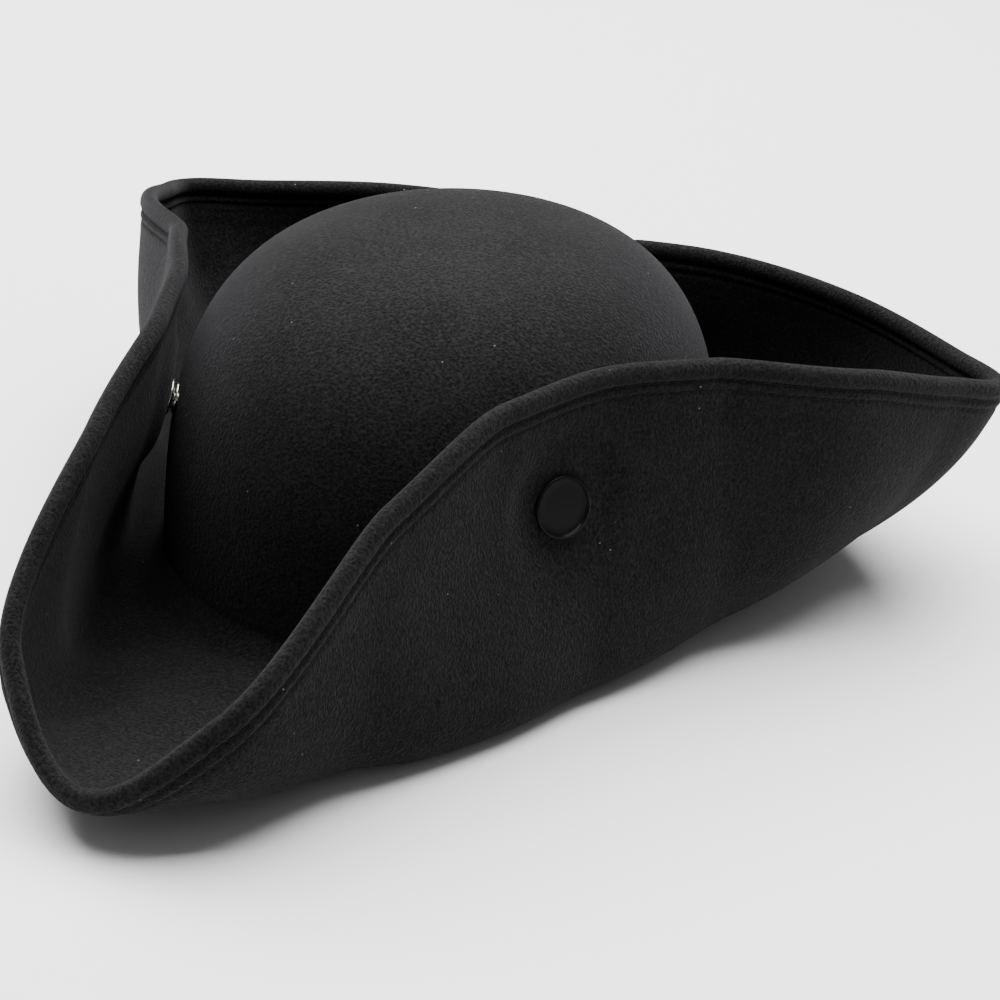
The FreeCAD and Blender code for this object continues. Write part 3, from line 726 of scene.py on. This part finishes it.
def turned(name, outline, angles, material, steps=48):
    """A piece turned from its outline about a snap's axis."""
    centre, outward = snap_site(*angles)
    upright = Vector(outward).to_track_quat("Z", "Y").to_matrix().to_4x4()
    site = Matrix.Translation(Vector(centre)) @ upright
    closed_on_axis = outline[0][0] == 0
    points = []
    for turn in np.radians(np.linspace(0, 2 * HALF_TURN, steps, endpoint=False)):
        for radius, height in outline:
            points.append(site @ (Vector((radius * math.cos(turn), radius * math.sin(turn), height)) / 1000))
    corners = len(outline)
    faces = []
    for k in range(steps):
        here, after = k * corners, (k + 1) % steps * corners
        for j in range(corners - 1 if closed_on_axis else corners):
            following = (j + 1) % corners
            faces.append([here + j, here + following, after + following, after + j])
    return closed_piece(name, points, faces, material, crease=40)


for side, angles in SNAPS.items():
    for kind, (outline, slot) in TURNED.items():
        finish = ENAMEL if slot == "snap_cap" else NICKEL
        cad_node = side + "_" + kind
        piece = turned(cad_node + "_turned", outline, angles, finish)
        on_side = kind in ("snap_cap", "snap_socket")
        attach(piece, side + "_side" if on_side else "crown_and_base")
        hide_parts(cad_node)

# ------------------------------------------------------------------ sweatband
# A ribbed grosgrain ribbon, 30 mm wide, is stitched inside the head opening with its ends lapped at the
# back.
BAND_HEIGHT = 0.030
BAND_LIFT = 0.0005
BAND_INSET = FELT + 0.0004
BAND_THICKNESS = 0.0012
RIB_DEPTH = 0.00016
COLUMNS_PER_RIB = 4


def ribbon_finish():
    """Black grosgrain, a little brighter on the ribs."""
    material, tree, shader = new_material("black_grosgrain")
    place = node(tree, "ShaderNodeTexCoord")
    weave = node(tree, "ShaderNodeTexNoise", {
        "Vector": place.outputs["Object"], "Scale": 1500.0, "Detail": 2.0})
    colour = node(tree, "ShaderNodeMix", {
        0: weave.outputs["Fac"], "A": (0.003, 0.003, 0.0033, 1), "B": (0.012, 0.012, 0.013, 1)},
        data_type="RGBA")
    relief = node(tree, "ShaderNodeBump", {
        "Height": weave.outputs["Fac"], "Strength": 0.4, "Distance": 0.0003})
    tree.links.new(colour.outputs[2], shader.inputs["Base Color"])
    tree.links.new(relief.outputs["Normal"], shader.inputs["Normal"])
    shader.inputs["Roughness"].default_value = 0.62
    shader.inputs["Sheen Weight"].default_value = 0.15
    return material


RIBBON = ribbon_finish()
band_rows = np.array([0, 0.0008, 0.0012, 0.010, 0.020, 0.0288, 0.0292, BAND_HEIGHT])
selvedge = np.array([1, 1, 0, 0, 0, 0, 1, 1])


def band_oval(angles, inset):
    """Points across on the oval that lies this far inside the crown's foot."""
    turn = np.radians(angles)
    return (CROWN_HALF_WIDTH - inset) * np.sin(turn), -(CROWN_HALF_LENGTH - inset) * np.cos(turn)


def ribbon(name, angles, inset, ring=False):
    """A length of the ribbon: smooth outside, ribbed inside between its two selvedges."""
    ribs = 0.5 - 0.5 * np.cos(np.arange(len(angles)) * 2 * math.pi / COLUMNS_PER_RIB)
    relief = RIB_DEPTH * ribs[:, None] * (1 - selvedge)[None, :]
    faces = []
    for face_inset in (inset + 0 * relief, inset + BAND_THICKNESS - RIB_DEPTH + relief):
        x, y = band_oval(angles[:, None], face_inset)
        faces.append(np.stack([x, y, BAND_LIFT + band_rows[None, :] + 0 * x], axis=-1).reshape(-1, 3))
    piece = closed_piece(name, np.concatenate(faces), sheet_faces(len(angles), len(band_rows), ring), RIBBON)
    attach(piece, "crown_and_base")
    return piece


band = ribbon("sweatband_ribbon", np.linspace(0, 2 * HALF_TURN, 2080, endpoint=False), BAND_INSET, ring=True)
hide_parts("sweatband")

# its free end laps over its start at the back of the head, and a row of stitches holds its lower edge
LAP_HALF_ANGLE = 4
SEAM_LEVEL = 0.0022
lap_angles = np.linspace(HALF_TURN - LAP_HALF_ANGLE, HALF_TURN + LAP_HALF_ANGLE, 54)
lap = ribbon("sweatband_lap", lap_angles, BAND_INSET + BAND_THICKNESS)
seam_angles = np.linspace(LAP_HALF_ANGLE + 1, 2 * HALF_TURN - LAP_HALF_ANGLE - 1, 360) + HALF_TURN
x, y = band_oval(seam_angles, BAND_INSET + BAND_THICKNESS)
seam = np.stack([x, y, BAND_LIFT + SEAM_LEVEL + 0 * x], axis=-1)
inward = unit(np.stack([-x, -y, 0 * x], axis=-1))
seam_stitches = grown("stitches_sweatband", line_mesh("seam_row", [(seam, inward)]), STITCH_TREE, {
    "Pitch": STITCH_PITCH, "Length": STITCH_LENGTH, "Radius": THREAD_RADIUS, "Material": THREAD})
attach(seam_stitches, "crown_and_base")

# ------------------------------------------------------------------ floor, light and camera
# The hat lies on a plain pale floor under a broad soft light from above.
low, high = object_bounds()
floor_mesh = bpy.data.meshes.new("floor")
FLOOR_REACH = 6.0
corners = [(-FLOOR_REACH, -FLOOR_REACH, low.z), (FLOOR_REACH, -FLOOR_REACH, low.z),
           (FLOOR_REACH, FLOOR_REACH, low.z), (-FLOOR_REACH, FLOOR_REACH, low.z)]
floor_mesh.from_pydata(corners, [], [(0, 1, 2, 3)])
floor = bpy.data.objects.new("floor", floor_mesh)
bpy.context.scene.collection.objects.link(floor)
paper, _, paper_shader = new_material("white_paper")
paper_shader.inputs["Base Color"].default_value = (0.72, 0.72, 0.72, 1)
paper_shader.inputs["Roughness"].default_value = 0.9
floor_mesh.materials.append(paper)


def softbox(name, place, aim, width, watts):
    """A square area light that faces a point."""
    lamp = bpy.data.lights.new(name, "AREA")
    lamp.shape = "SQUARE"
    lamp.size = width
    lamp.energy = watts
    holder = bpy.data.objects.new(name, lamp)
    holder.location = place
    holder.rotation_mode = "QUATERNION"
    holder.rotation_quaternion = (Vector(aim) - Vector(place)).to_track_quat("-Z", "Y")
    bpy.context.scene.collection.objects.link(holder)


softbox("overhead", (-0.35, 0.35, 1.7), (0, 0, 0.05), 2.4, 240)
world = bpy.data.worlds.new("studio")
world.use_nodes = True
world.node_tree.nodes["Background"].inputs["Color"].default_value = (1, 1, 1, 1)
world.node_tree.nodes["Background"].inputs["Strength"].default_value = 0.3
bpy.context.scene.world = world

CAMERA_AZIMUTH = 24.1
CAMERA_ELEVATION = 25.3
CAMERA_ROLL = 4.9
CAMERA_DISTANCE = 0.9215
CAMERA_ASIDE = 0.0209
CAMERA_ABOVE = 0.0151
azimuth, elevation = math.radians(CAMERA_AZIMUTH), math.radians(CAMERA_ELEVATION)
back = Vector((math.sin(azimuth) * math.cos(elevation), -math.cos(azimuth) * math.cos(elevation),
               math.sin(elevation)))
level_right = Vector((math.cos(azimuth), math.sin(azimuth), 0))
level_up = back.cross(level_right)
roll = math.radians(CAMERA_ROLL)
right = level_right * math.cos(roll) + level_up * math.sin(roll)
up = level_up * math.cos(roll) - level_right * math.sin(roll)
camera = bpy.data.objects.new("camera", bpy.data.cameras.new("camera"))
camera.matrix_world = (Matrix.Translation(right * CAMERA_ASIDE + up * CAMERA_ABOVE + back * CAMERA_DISTANCE)
                       @ Matrix((right, up, back)).transposed().to_4x4())
camera.data.sensor_width = 36
camera.data.lens = 98
camera.data.clip_start = 0.05
bpy.context.scene.collection.objects.link(camera)
bpy.context.scene.camera = camera
